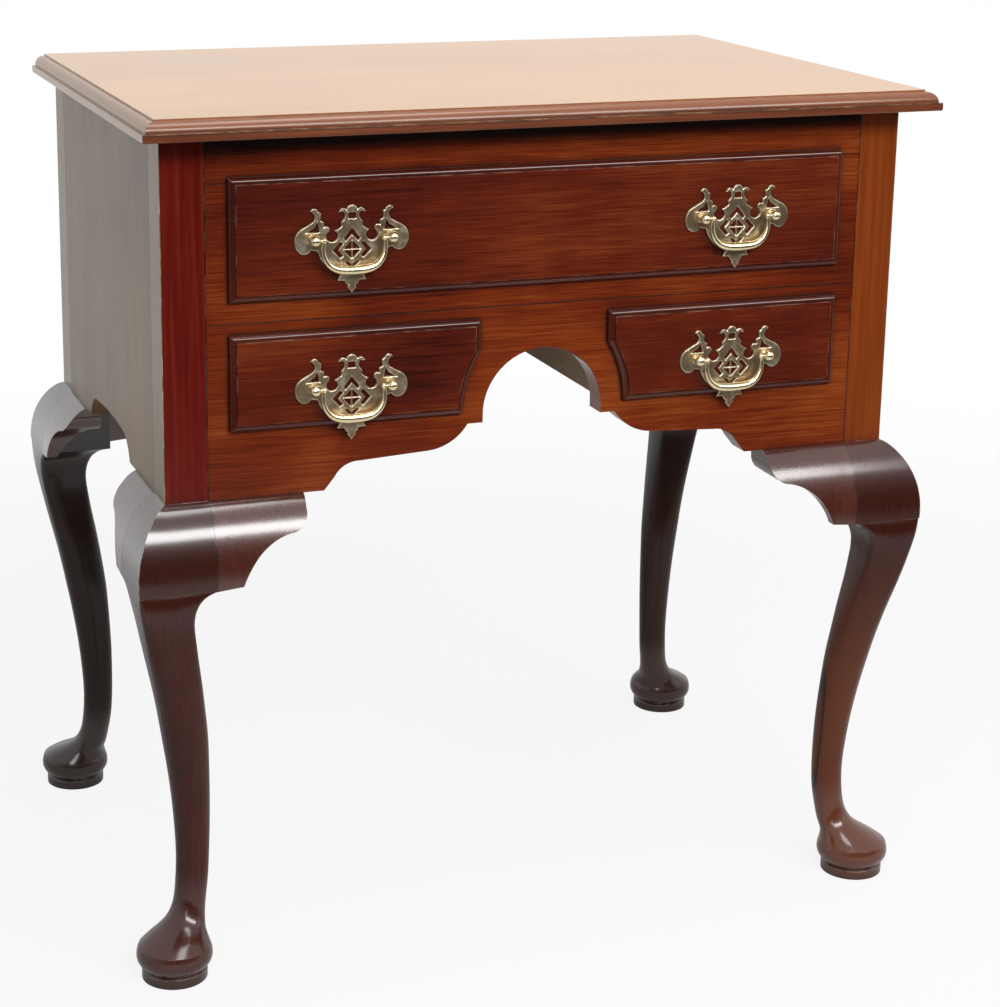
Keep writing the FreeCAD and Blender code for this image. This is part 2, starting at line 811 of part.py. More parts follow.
def make_drawer_front(outline):
    """Lipped drawer front: rounded lip, raised field and rebated body."""
    lip = slab_from(outline(0.0), Vector(0, -lip_thickness, 0))
    lip.translate(Vector(0, lip_back - front, 0))
    lip_front = lip_back - lip_thickness
    rim = [edge for edge in lip.Edges if all(abs(v.Point.y - lip_front) < 0.01 for v in edge.Vertexes)]
    lip = lip.makeFillet(lip_round, rim)
    field = slab_from(outline(field_inset), Vector(0, -lip_thickness - field_raise, 0))
    field.translate(Vector(0, lip_back - front, 0))
    body = slab_from(outline(lip_overlap + front_clearance), Vector(0, front_body_depth, 0))
    body.translate(Vector(0, lip_back - front, 0))
    return lip.fuse([field, body]).removeSplitter()


def make_drawer(outline, x0, x1, z_floor, z_ceiling, handle_posts):
    """All five boards of a drawer: front, two sides, back and bottom.

    x0 and x1 are the outer faces of its sides, and z_floor and z_ceiling the
    bottom and top of its opening."""
    low = z_floor + running_gap
    high = z_ceiling - drawer_side_drop
    root = body_back
    tip = body_back - tail_length
    back_root = drawer_end - drawer_side_thickness
    bottom_low = low + drawer_bottom_raise
    bottom_high = bottom_low + drawer_bottom_thickness
    left_x = (x0, x0 + drawer_side_thickness)
    right_x = (x1 - drawer_side_thickness, x1)

    bottom = box(left_x[1] - groove_depth, right_x[0] + groove_depth,
                 body_back - groove_depth, drawer_end, bottom_low, bottom_high)
    groove = box(left_x[1] - groove_depth - groove_gap, right_x[0] + groove_depth + groove_gap,
                 body_back - groove_depth - groove_gap, drawer_end,
                 bottom_low - groove_gap, bottom_high + groove_gap)
    front_board = make_drawer_front(outline)
    back_board = box(x0, x1, back_root, drawer_end, bottom_high + groove_gap, high - drawer_back_drop)
    sides = []
    for span in (left_x, right_x):
        board = box(span[0], span[1], root, back_root, low, high)
        front_tails = tail_prisms(span[0], span[1], low, high, root, tip)
        back_tails = tail_prisms(span[0], span[1], low, high, back_root, drawer_end)
        board = board.fuse(front_tails + back_tails).removeSplitter()
        front_board = front_board.cut(front_tails)
        back_board = back_board.cut(back_tails)
        sides.append(board.cut(groove))
    front_board = front_board.cut([groove] + [post_hole(x, z) for x, z in handle_posts])
    return [front_board, sides[0], sides[1], back_board, bottom]


# --------------------------------------------------------------- the brasses
def post_hole(x, z):
    radius = shank_radius + shank_clearance
    return Part.makeCylinder(radius, body_back - field_front, Vector(x, field_front, z), Vector(0, 1, 0))


def post_places(x, z):
    half = bail_centres / 2
    return [(x - half, z), (x + half, z)]


# Right half of the pierced plate, from the crest down to the pendant's tip:
# distance from the plate's centre line, height above the bail's axis. A pair
# of points after "arc" is the middle and the end of an arc.
plate_outline = [
    ("line", (4.6, 22.5)),
    ("arc", (7.2, 23.8), (9.9, 22.4)),
    ("line", (11.2, 20.4)),
    ("line", (6.9, 20.6)),
    ("arc", (5.9, 17.6), (7.4, 14.4)),
    ("line", (8.9, 12.6)),
    ("line", (8.5, 9.6)),
    ("line", (11.2, 7.6)),
    ("line", (14.2, 6.2)),
    ("line", (12.1, 4.4)),
    ("arc", (16.1, -2.4), (20.2, 4.6)),
    ("arc", (18.4, 8.2), (22.6, 9.6)),
    ("line", (22.6, 13.2)),
    ("line", (25.6, 15.0)),
    ("line", (24.9, 20.0)),
    ("line", (27.4, 21.8)),
    ("arc", (30.6, 24.4), (34.0, 21.9)),
    ("arc", (30.6, 19.2), (32.8, 13.2)),
    ("line", (39.5, 9.6)),
    ("arc", (46.7, -1.0), (42.2, -10.4)),
    ("arc", (37.6, -11.4), (33.2, -8.4)),
    ("line", (27.8, -9.6)),
    ("arc", (22.0, -20.2), (9.0, -28.2)),
    ("line", (11.8, -33.6)),
    ("line", (6.0, -33.8)),
    ("line", (4.8, -36.6)),
    ("line", (2.9, -37.4)),
    ("line", (3.7, -39.1)),
    ("line", (0.0, -43.5)),
]
crest_top = 26.2
crest_half = 2.9            # pierced square in the crest
crest_low = 15.4
crest_high = 19.9
wing_piercing = [(28.3, 13.4), (30.3, 9.4), (36.2, 5.6), (26.6, 5.6)]
lattice_centre = -9.3       # middle of the pierced diamond
diamond_half = 7.1
diamond_half_height = 7.5
cross_bar = 1.5
# Chevrons round the diamond, measured from its middle: outer point, outer
# end, inner end and inner point.
upper_chevron = [(0.0, 17.2), (6.5, 9.0), (5.1, 7.1), (0.0, 12.4)]
lower_chevron = [(0.0, -15.2), (5.8, -9.6), (3.8, -8.9), (0.0, -12.7)]
side_chevron = [(15.6, 0.0), (9.6, 6.3), (7.4, 4.7), (11.4, 0.0)]


def plate_point(side, point):
    return Vector(side * point[0], 0, point[1])


def plate_face():
    """The plate's outer outline, both halves, in the plane of its back."""
    shoulder = plate_outline[0][1]
    edges = [arc(plate_point(-1, shoulder), Vector(0, 0, crest_top), plate_point(1, shoulder))]
    for side in (-1, 1):
        here = plate_point(side, plate_outline[0][1])
        for step in plate_outline[1:]:
            there = plate_point(side, step[-1])
            if step[0] == "arc":
                edges.append(arc(here, plate_point(side, step[1]), there))
            else:
                edges.append(line(here, there))
            here = there
    return Part.Face(Part.Wire(Part.__sortEdges__(edges)))


def lattice_hole(points):
    return [Vector(x, 0, lattice_centre + z) for x, z in points]


def plate_piercings():
    bar = cross_bar / 2
    holes = [[Vector(-crest_half, 0, crest_low), Vector(crest_half, 0, crest_low),
              Vector(crest_half, 0, crest_high), Vector(-crest_half, 0, crest_high)]]
    slope = diamond_half_height / diamond_half
    for side in (-1, 1):
        holes.append([plate_point(side, p) for p in wing_piercing])
        point, outer_end, inner_end, hollow = [(side * x, z) for x, z in side_chevron]
        below = [(inner_end[0], -inner_end[1]), (outer_end[0], -outer_end[1])]
        holes.append(lattice_hole([point, outer_end, inner_end, hollow] + below))
        for rise in (-1, 1):
            reach = diamond_half - bar / slope
            climb = diamond_half_height - bar * slope
            holes.append(lattice_hole([(side * bar, rise * bar), (side * reach, rise * bar),
                                       (side * bar, rise * climb)]))
    for point, outer_end, inner_end, hollow in (upper_chevron, lower_chevron):
        across = [(-inner_end[0], inner_end[1]), (-outer_end[0], outer_end[1])]
        holes.append(lattice_hole([point, outer_end, inner_end, hollow] + across))
    return holes


def make_plate():
    """The pierced plate, with its back on the drawer and facing -Y."""
    plate = plate_face().extrude(Vector(0, -plate_thickness, 0))
    cutters = [slab_from(polygon(hole), Vector(0, -plate_thickness, 0)) for hole in plate_piercings()]
    radius = shank_radius + plate_hole_clearance
    for x, z in post_places(0.0, 0.0):
        cutters.append(Part.makeCylinder(radius, plate_thickness, Vector(x, 0, z), Vector(0, -1, 0)))
    return plate.cut(cutters)


def make_post(side):
    """One ball-headed post, from its nut's end out to the ball."""
    x = side * bail_centres / 2
    ball_y = -plate_thickness - ball_stand_off
    shank_tail = body_back - field_front + nut_thickness + shank_end
    along = Vector(0, -1, 0)
    shank = Part.makeCylinder(shank_radius, shank_tail + plate_thickness, Vector(x, shank_tail, 0), along)
    collar = Part.makeCylinder(collar_radius, collar_thickness, Vector(x, -plate_thickness, 0), along)
    neck = Part.makeCylinder(neck_radius, ball_stand_off, Vector(x, -plate_thickness, 0), along)
    ball = Part.makeSphere(ball_radius, Vector(x, ball_y, 0))
    bore_radius = pin_radius + pin_clearance
    bore = Part.makeCylinder(bore_radius, 2 * ball_radius, Vector(x, ball_y, 0), Vector(-side, 0, 0))
    return shank.fuse([collar, neck, ball]).cut(bore)


def make_nut(side):
    x = side * bail_centres / 2
    y0 = body_back - field_front
    half = nut_size / 2
    nut = box(x - half, x + half, y0, y0 + nut_thickness, -half, half)
    hole = Part.makeCylinder(shank_radius, nut_thickness, Vector(x, y0, 0), Vector(0, 1, 0))
    return nut.cut(hole)


# Left half of the bail's centre line, with its radius: out, down, radius.
bail_stations = [(24.5, 0.0, 1.8), (25.4, 4.5, 1.8), (25.1, 10.0, 2.0), (23.2, 15.6, 2.3),
                 (19.0, 20.6, 2.8), (13.0, 23.4, 3.3), (6.5, 24.3, 3.6), (0.0, 24.5, 3.7)]


def make_bail():
    """The bail, hanging from the balls: swelled bow, knobs and pins."""
    y = -plate_thickness - ball_stand_off
    places = [(-out, -down, radius) for out, down, radius in bail_stations]
    places += [(out, -down, radius) for out, down, radius in reversed(bail_stations[:-1])]
    rings = []
    for index, (x, z, radius) in enumerate(places):
        before = places[max(index - 1, 0)]
        after = places[min(index + 1, len(places) - 1)]
        tangent = Vector(after[0] - before[0], 0, after[1] - before[1])
        ring = Part.Edge(Part.Circle(Vector(x, y, z), tangent, radius))
        rings.append(Part.Wire([ring]))
    bow = Part.makeLoft(rings, True, False)
    pieces = []
    for side in (-1, 1):
        top_x = side * bail_stations[0][0]
        pin_length = bail_centres / 2 - bail_stations[0][0] - pin_end_gap
        pieces.append(Part.makeSphere(bail_knob_radius, Vector(top_x, y, 0)))
        pieces.append(Part.makeCylinder(pin_radius, pin_length, Vector(top_x, y, 0), Vector(side, 0, 0)))
    return bow.fuse(pieces)


def placed(shape, x, z):
    moved = shape.copy()
    moved.translate(Vector(x, field_front, z))
    return moved


# -------------------------------------------------------------- the assembly
def build_case():
    keep(make_top(), "top")
    for rear in (False, True):
        for side in (-1, 1):
            name = "leg_" + ("back" if rear else "front") + ("_left" if side < 0 else "_right")
            keep(make_leg(side, rear), name)
    pairs = {
        "ear_front": make_front_ear(),
        "ear_side_front": make_side_ear(False),
        "ear_side_back": make_side_ear(True),
        "side_panel": make_side_panel(),
        "long_drawer_runner": make_runner(),
        "long_drawer_guide": make_guide(long_opening_bottom),
        "long_drawer_kicker": make_kicker(),
        "lower_drawer_runner": make_lower_runner(),
        "lower_drawer_guide": make_guide(lower_opening_bottom),
        "partition": make_partition(),
        "inner_runner": make_inner_runner(),
    }
    for name, shape in pairs.items():
        keep(mirrored(shape), name + "_left")
        keep(shape, name + "_right")
    keep(Part.makeCompound([mirrored(make_back_ear()), make_back_ear()]), "ears_back")
    keep(make_top_rail(), "top_rail")
    keep(make_drawer_rail(), "drawer_rail")
    keep(make_apron(), "apron")
    keep(make_back_board(), "back_board")
    keep(make_glue_blocks(), "glue_blocks")


def build_drawers():
    box_reach = opening_outer - front_clearance
    long_posts = post_places(-handle_from_centre, long_handle_z)
    long_posts += post_places(handle_from_centre, long_handle_z)
    boards = make_drawer(long_outline, -box_reach, box_reach,
                         long_opening_bottom, top_rail_bottom, long_posts)
    for board, name in zip(boards, ("front", "side_left", "side_right", "back", "bottom")):
        keep(board, "long_drawer_" + name)

    lower_posts = post_places(handle_from_centre, lower_handle_z)
    boards = make_drawer(lower_outline, lower_box_inner(), box_reach,
                         lower_opening_bottom, lower_opening_top, lower_posts)
    for board, name in zip(boards, ("front", "side_inner", "side_outer", "back", "bottom")):
        keep(mirrored(board), "left_drawer_" + name)
        keep(board, "right_drawer_" + name)


def build_handles():
    places = {
        "long_left": (-handle_from_centre, long_handle_z),
        "long_right": (handle_from_centre, long_handle_z),
        "lower_left": (-handle_from_centre, lower_handle_z),
        "lower_right": (handle_from_centre, lower_handle_z),
    }
    plate = make_plate()
    posts = Part.makeCompound([make_post(-1), make_post(1), make_nut(-1), make_nut(1)])
    bail = make_bail()
    for name, (x, z) in places.items():
        keep(placed(plate, x, z), "plate_" + name)
        keep(placed(posts, x, z), "posts_" + name)
        keep(placed(bail, x, z), "bail_" + name)


build_case()
build_drawers()
build_handles()
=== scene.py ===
# %% [markdown]
# # A lowboy in waxed mahogany
# The joiner's solids arrive as a fixed frame: every board, leg, drawer part and brass is one object, already
# in its place. They could be dressed with one brown each, but old furniture is read by its surfaces: grain
# that follows each board, polish that is bright only at a glance, worn arrises and dark joints. This script
# gives each piece that finish, cuts the bevels on the brass plates, and sets a floor, lamps and a camera.
# Some of that finish is painted light: shade painted into corners, under the top and on the drawer lips, and
# highlights painted onto the arrises and the top's moulding.

# %% Load the frame
import json
import math

import bmesh
import bpy
from mathutils import Matrix, Vector


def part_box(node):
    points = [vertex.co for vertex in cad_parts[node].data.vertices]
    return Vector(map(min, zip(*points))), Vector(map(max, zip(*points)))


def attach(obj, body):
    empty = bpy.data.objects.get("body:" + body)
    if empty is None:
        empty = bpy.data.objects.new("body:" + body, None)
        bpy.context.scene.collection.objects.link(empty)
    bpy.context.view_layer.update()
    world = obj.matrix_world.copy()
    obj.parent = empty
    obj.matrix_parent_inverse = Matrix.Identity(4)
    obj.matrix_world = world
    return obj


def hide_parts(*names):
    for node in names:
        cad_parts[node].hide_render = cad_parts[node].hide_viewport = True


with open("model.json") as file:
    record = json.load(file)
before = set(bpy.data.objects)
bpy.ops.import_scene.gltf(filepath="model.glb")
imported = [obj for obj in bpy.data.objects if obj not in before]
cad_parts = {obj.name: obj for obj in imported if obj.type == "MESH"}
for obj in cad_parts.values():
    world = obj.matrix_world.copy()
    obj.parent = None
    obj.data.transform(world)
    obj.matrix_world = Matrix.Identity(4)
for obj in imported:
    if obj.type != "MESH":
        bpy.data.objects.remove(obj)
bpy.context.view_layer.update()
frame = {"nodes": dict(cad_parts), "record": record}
nodes = frame["nodes"]
MM = 0.001

# %% [markdown]
# ## Camera
# A standing viewer looks at the piece from its front left corner, a little from above. A wide lens would
# splay the legs, so the lens is long and the upright edges stay nearly parallel. The heading is given as
# three angles in radians, and the film is shifted so that the piece fills the picture without the camera
# being turned.

# %% Camera
CAMERA_PLACE = (-0.71838, -1.93726, 0.96214)
YAW, PITCH, ROLL = 0.3431, 0.2537, 0.0106
FILM_WIDTH = 36.0
LENS = 2.37109 * FILM_WIDTH
SHIFT_X, SHIFT_Y = 0.0722, -0.1183
FARTHEST_SEEN = 60.0

forward = Vector((math.sin(YAW) * math.cos(PITCH), math.cos(YAW) * math.cos(PITCH), -math.sin(PITCH)))
level = Vector((math.cos(YAW), -math.sin(YAW), 0.0))
upright = level.cross(forward)
right = level * math.cos(ROLL) + upright * math.sin(ROLL)
up = upright * math.cos(ROLL) - level * math.sin(ROLL)

camera = bpy.data.objects.new("camera", bpy.data.cameras.new("camera"))
bpy.context.scene.collection.objects.link(camera)
turn = Matrix((right, up, -forward)).transposed().to_4x4()
camera.matrix_world = Matrix.Translation(CAMERA_PLACE) @ turn
camera.data.sensor_fit = "HORIZONTAL"
camera.data.sensor_width = FILM_WIDTH
camera.data.lens = LENS
camera.data.shift_x = SHIFT_X
camera.data.shift_y = SHIFT_Y
camera.data.clip_end = FARTHEST_SEEN
bpy.context.scene.camera = camera
print("camera lens", round(camera.data.lens, 1), "mm")

# %% [markdown]
# ## Sums that build shader nodes
# A finish is arithmetic on noise, distance and height. Linking Math nodes by hand hides that arithmetic, so a
# small class wraps one socket and lets Python's own operators add the nodes. Every other kind of node comes
# from one method, which sets the node's settings first and then its sockets.


# %% A socket that can be added, subtracted and multiplied
class Wire:
    def __init__(self, graph, socket):
        self.graph = graph
        self.socket = socket

    def math(self, operation, *values):
        return self.graph.add("ShaderNodeMath", {"operation": operation}, dict(enumerate(values)))

    def __add__(self, other):
        return self.math("ADD", self, other)

    def __sub__(self, other):
        return self.math("SUBTRACT", self, other)

    def __rsub__(self, other):
        return self.math("SUBTRACT", other, self)

    def __mul__(self, other):
        return self.math("MULTIPLY", self, other)

    __radd__ = __add__
    __rmul__ = __mul__

    def __abs__(self):
        return self.math("ABSOLUTE", self)

    def largest(self, other):
        return self.math("MAXIMUM", self, other)

    def step(self, start, end):
        """0 up to start and 1 from end on, with a smooth rise between; end may be the lower of the two."""
        settings = {"interpolation_type": "SMOOTHSTEP"}
        sockets = {"Value": self, "From Min": start, "From Max": end}
        return self.graph.add("ShaderNodeMapRange", settings, sockets)


print("sockets take part in sums")


# %% A material's or a world's nodes
class Graph:
    def __init__(self, owner):
        owner.use_nodes = True
        self.tree = owner.node_tree
        self.tree.nodes.clear()

    def add(self, kind, settings=None, sockets=None, output=0):
        node = self.tree.nodes.new(kind)
        for name, value in (settings or {}).items():
            if name == "stops":
                self.set_stops(node.color_ramp, value)
            else:
                setattr(node, name, value)
        for name, value in (sockets or {}).items():
            if isinstance(value, Wire):
                self.tree.links.new(value.socket, node.inputs[name])
            else:
                node.inputs[name].default_value = value
        return Wire(self, node.outputs[output]) if node.outputs else node

    def set_stops(self, ramp, stops):
        while len(ramp.elements) < len(stops):
            ramp.elements.new(1.0)
        for element, (place, colour) in zip(ramp.elements, stops):
            element.position = place
            element.color = (*colour, 1.0)

    def outputs(self, kind, settings=None, sockets=None):
        """All outputs of one new node."""
        return self.add(kind, settings, sockets).socket.node.outputs

    def ramp(self, value, places, colours):
        """A colour that goes from the first of colours to the last as value passes the places."""
        return self.add("ShaderNodeValToRGB", {"stops": list(zip(places, colours))}, {0: value})

    def blend(self, share, first, second):
        """Mix two colours; share is how much of the second."""
        colours = [(*c, 1.0) if isinstance(c, tuple) else c for c in (first, second)]
        return self.add("ShaderNodeMix", {"data_type": "RGBA"}, {0: share, 6: colours[0], 7: colours[1]}, 2)

    def vector(self, operation, first, second, output=0):
        return self.add("ShaderNodeVectorMath", {"operation": operation}, {0: first, 1: second}, output)

    def place(self):
        """The point on the piece, in metres in the frame's own axes."""
        return self.add("ShaderNodeTexCoord", output="Object")

    def axes(self, place):
        """The x, y and z of a place or a direction."""
        return [Wire(self, socket) for socket in self.outputs("ShaderNodeSeparateXYZ", sockets={0: place})]

    def noise(self, place, scale, detail):
        """A cloud with the same size of mark in every direction; it averages about a half."""
        return self.add("ShaderNodeTexNoise", sockets={"Vector": place, "Scale": scale, "Detail": detail})

    def rays(self, *names):
        """What kind of ray meets the surface: 1 where it is the kind named, otherwise 0."""
        kinds = self.outputs("ShaderNodeLightPath")
        return [Wire(self, kinds[name]) for name in names]


print("shader helpers ready")

# %% [markdown]
# ## Studio
# Polished wood shows its surroundings at a shallow angle. The background is white wherever the camera or a
# clear surface sees it, and where polish mirrors the room behind the piece. The room in front is much dimmer,
# as a studio is behind its camera, so the drawer fronts keep their depth of colour while the top and the end
# shine. As a light, the whole room is weak, so that the lamps draw the form.

# %% World
ROOM_LOW, ROOM_HIGH = 0.14, 0.45
DIMMER_IN_POLISH = 0.6

bpy.context.scene.view_settings.view_transform = "Standard"
world = bpy.data.worlds.new("studio")
bpy.context.scene.world = world
sky = Graph(world)
camera_ray, glossy_ray, clear_ray = sky.rays("Is Camera Ray", "Is Glossy Ray", "Is Transmission Ray")
heading_y, heading_z = sky.axes(sky.add("ShaderNodeTexCoord", output="Generated"))[1:]
# 1 for a heading that goes back or up, 0 for one that goes forward or down.
behind = (heading_y * 0.75 + heading_z * 0.85).step(-0.75, 0.35)
shown = camera_ray.largest(clear_ray).largest(glossy_ray * behind)
room = (behind * (ROOM_HIGH - ROOM_LOW) + ROOM_LOW) * (1.0 - glossy_ray * DIMMER_IN_POLISH)
strength = shown + (1.0 - shown) * room
background = sky.add("ShaderNodeBackground", sockets={"Color": (1.0, 1.0, 1.0, 1.0), "Strength": strength})
sky.add("ShaderNodeOutputWorld", sockets={"Surface": background})
print("room light from", ROOM_LOW, "in front to", ROOM_HIGH, "behind")

# %% [markdown]
# Four lamps do the lighting. The strongest is a wide, shallow strip, high in front like a window: it draws
# the bright bands on the knees and ears and lights the drawer fronts. One overhead deepens the shadow under
# the top's edge, and two weak ones at the left and the right open the shadows. Sizes are in metres, powers in
# watts.


# %% Lamps
def lamp(name, place, aim, wide, deep, watts):
    data = bpy.data.lights.new(name, "AREA")
    data.shape = "RECTANGLE"
    data.size = wide
    data.size_y = deep
    data.energy = watts
    lamp_object = bpy.data.objects.new(name, data)
    bpy.context.scene.collection.objects.link(lamp_object)
    lamp_object.location = place
    lamp_object.rotation_euler = (Vector(aim) - Vector(place)).to_track_quat("-Z", "Y").to_euler()
    print(name, watts, "W")


lamp("ceiling_lamp", place=(0.25, -0.35, 2.6), aim=(0.1, -0.25, 0.5), wide=1.5, deep=0.6, watts=19.0)
lamp("high_front_lamp", place=(0.2, -1.85, 1.62), aim=(-0.1, -0.2, 0.39), wide=2.2, deep=0.48, watts=47.0)
lamp("left_lamp", place=(-1.3, -2.2, 1.2), aim=(0.1, -0.1, 0.3), wide=0.5, deep=0.7, watts=6.5)
lamp("right_lamp", place=(2.6, -1.2, 1.2), aim=(0.0, 0.0, 0.4), wide=1.6, deep=1.6, watts=4.0)

# %% [markdown]
# ## Floor
# The piece stands on plain pale paper. A square sheet would end in a visible edge, so the sheet is a disc
# that thins away into the white background, and only its middle carries the shadow of the feet. Most of what
# the camera sees of it is its own even white, which keeps the shadow pale. It is clear from beneath, so that
# the underside of the piece can be looked at.

# %% A disc of paper
FLOOR_RADIUS = 1.9
FLOOR_CORNERS = 96
floor_mesh = bpy.data.meshes.new("floor")
shape = bmesh.new()
bmesh.ops.create_circle(shape, cap_ends=True, segments=FLOOR_CORNERS, radius=FLOOR_RADIUS)
shape.to_mesh(floor_mesh)
shape.free()
floor = bpy.data.objects.new("floor", floor_mesh)
bpy.context.scene.collection.objects.link(floor)
print("floor", FLOOR_RADIUS, "m across its half")

# %% Pale paper
THINS_FROM = 0.75
WHITE_TO_CAMERA = 0.86
WHITE_IN_POLISH = 0.15

paper = bpy.data.materials.new("pale_paper")
sheet = Graph(paper)
here = sheet.place()
outward = sheet.vector("LENGTH", here, (0.0, 0.0, 0.0), "Value")
grain = sheet.noise(here, 420.0, 3.0)
tone = sheet.blend(grain, (0.60, 0.60, 0.59), (0.65, 0.65, 0.64))
bump = sheet.add("ShaderNodeBump", sockets={"Height": grain, "Strength": 0.08, "Distance": 0.4 * MM})
solid = sheet.add("ShaderNodeBsdfPrincipled", sockets={
    "Base Color": tone, "Roughness": 0.85, "Specular IOR Level": 0.0, "Normal": bump})
white = sheet.add("ShaderNodeEmission", sockets={"Color": (1.0, 1.0, 1.0, 1.0), "Strength": 1.0})
camera_ray, glossy_ray, clear_ray = sheet.rays("Is Camera Ray", "Is Glossy Ray", "Is Transmission Ray")
seen = (camera_ray.largest(clear_ray) * WHITE_TO_CAMERA).largest(glossy_ray * WHITE_IN_POLISH)
solid = sheet.add("ShaderNodeMixShader", sockets={0: seen, 1: solid, 2: white})
clear = sheet.add("ShaderNodeBsdfTransparent")
thin = outward.step(THINS_FROM, FLOOR_RADIUS)
thin = thin.largest(sheet.add("ShaderNodeNewGeometry", output="Backfacing"))
faded = sheet.add("ShaderNodeMixShader", sockets={0: thin, 1: solid, 2: clear})
sheet.add("ShaderNodeOutputMaterial", sockets={"Surface": faded})
floor.data.materials.append(paper)
print("paper thins out from", THINS_FROM, "m")

# %% [markdown]
# ## Wood
# Mahogany shows four sizes of mark: broad bands of colour, streaks a few millimetres wide, fine fibre, and
# short dark pores. All four run along the board. One noise stretched along the grain gives each, so the same
# recipe serves every board once it knows which way its grain runs. A number that differs from piece to piece
# shifts the noise, so no two boards match. A plain cloud is added for wood that has faded unevenly.

# %% Noise stretched along the grain
GRAIN_AXES = {"x": 0, "y": 1, "z": 2}
# 1 less the cosine of the angle between face and rounded arris: where the arris's pale colour, partly wear
# and partly painted highlight, starts and where it is full.
ARRIS_TURN = (0.015, 0.16)


def stretched(graph, place, along, length, width):
    """The place, scaled so that a noise of size 1 is length long and width wide."""
    scale = [1.0 / width] * 3
    scale[GRAIN_AXES[along]] = 1.0 / length
    return graph.vector("MULTIPLY", place, tuple(scale))


def marks(graph, place, along, length, width, seed, detail, bend=0.0):
    """Marks of the length and width given, in metres, that run along one axis."""
    sockets = {"Vector": stretched(graph, place, along, length, width), "W": seed, "Scale": 1.0,
               "Detail": detail, "Distortion": bend}
    return graph.add("ShaderNodeTexNoise", {"noise_dimensions": "4D"}, sockets)


def rounded_arris(graph, radius):
    """The normal of a rounded arris, and a share that is 1 on the arrises of a piece and 0 on its faces."""
    rounded = graph.add("ShaderNodeBevel", {"samples": 6}, {"Radius": radius})
    flat = graph.add("ShaderNodeNewGeometry", output="Normal")
    return rounded, (1.0 - graph.vector("DOT_PRODUCT", rounded, flat, "Value")).step(*ARRIS_TURN)


print("grain helpers ready")

# %% [markdown]
# Old boards move, so their joints show as thin dark lines, and where a leg's post meets the rails the joint
# is the only thing that tells two flush pieces apart. The joints lie in level and upright planes, so a line
# is drawn wherever the surface comes close to such a plane. The planes come from the boxes of the pieces,
# less the tenons and tongues that are hidden in the posts.

# %% Where the joints are
RAIL_TENON = 20.0 * MM
PANEL_TONGUE = 9.0 * MM
post_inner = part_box("top_rail")[1][0] - RAIL_TENON
apron_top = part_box("apron")[1][2]
case_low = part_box("apron")[0][2]
drawer_rail_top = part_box("drawer_rail")[1][2]
panel_low, panel_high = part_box("side_panel_left")
panel_front = panel_low[1] + PANEL_TONGUE
panel_back = panel_high[1] - PANEL_TONGUE
back_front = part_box("back_board")[0][1]
post_joints = [("x", -post_inner), ("x", post_inner), ("y", panel_front), ("y", panel_back)]
rail_joints = [("x", -post_inner), ("x", post_inner), ("z", apron_top), ("z", drawer_rail_top)]
print("post joints", [(axis, round(value, 4)) for axis, value in post_joints])

# %% Joint lines
JOINT_HALF_WIDTH = 0.9 * MM
JOINT_DARK_WIDTH = 0.2 * JOINT_HALF_WIDTH


def joint_line(graph, place, joints):
    """1 on a joint's plane; joints names the planes as (axis, value)."""
    across = graph.axes(place)
    lines = [abs(across[GRAIN_AXES[axis]] - value).step(JOINT_HALF_WIDTH, JOINT_DARK_WIDTH)
             for axis, value in joints]
    mask = lines[0]
    for line in lines[1:]:
        mask = line.largest(mask)
    return mask


print("a joint's line fades out at", round(JOINT_HALF_WIDTH / MM, 2), "mm")

# %% [markdown]
# The finish itself is a thin shellac over stained wood, waxed for two centuries. Its base layer carries the
# grain and a little roughness, and a clear coat over it carries the shine. On the case both have a low index,
# so the wood keeps its colour when it is faced and turns bright when it is seen along its surface. The legs
# and ears take a coat of high index, which shows the lamps as clear bands.


# %% Waxed wood
ARRIS_RADIUS = 1.1 * MM
JOINT_DIRT = (0.006, 0.004, 0.003)
# Painted shade in corners: its colour and how far it reaches.
CORNER_SHADE_COLOUR = (0.012, 0.005, 0.004)
CORNER_SHADE_REACH = 14 * MM
SEED_SPREAD = 40.0


def figure(graph, here, along, seed, contrast):
    """How pale the wood is, about a half on average, with its streaks, fibres and pores by themselves."""
    broad = marks(graph, here, along, length=0.55, width=0.05, seed=seed, detail=3.0, bend=0.5)
    cloud = graph.noise(here, 7.0, 4.0)
    streak = marks(graph, here, along, length=0.10, width=2.5 * MM, seed=seed, detail=4.0, bend=0.5)
    fibre = marks(graph, here, along, length=0.04, width=0.9 * MM, seed=seed, detail=3.0)
    pore = marks(graph, here, along, length=9 * MM, width=0.5 * MM, seed=seed, detail=1.0).step(0.62, 0.74)
    half_of_shares = (0.5 + 0.7 + 0.2 + 0.65) / 2
    pale_share = (broad * 0.5 + cloud * 0.7 + streak * 0.2 + fibre * 0.65 - half_of_shares) * contrast + 0.5
    return pale_share, streak, fibre, pore


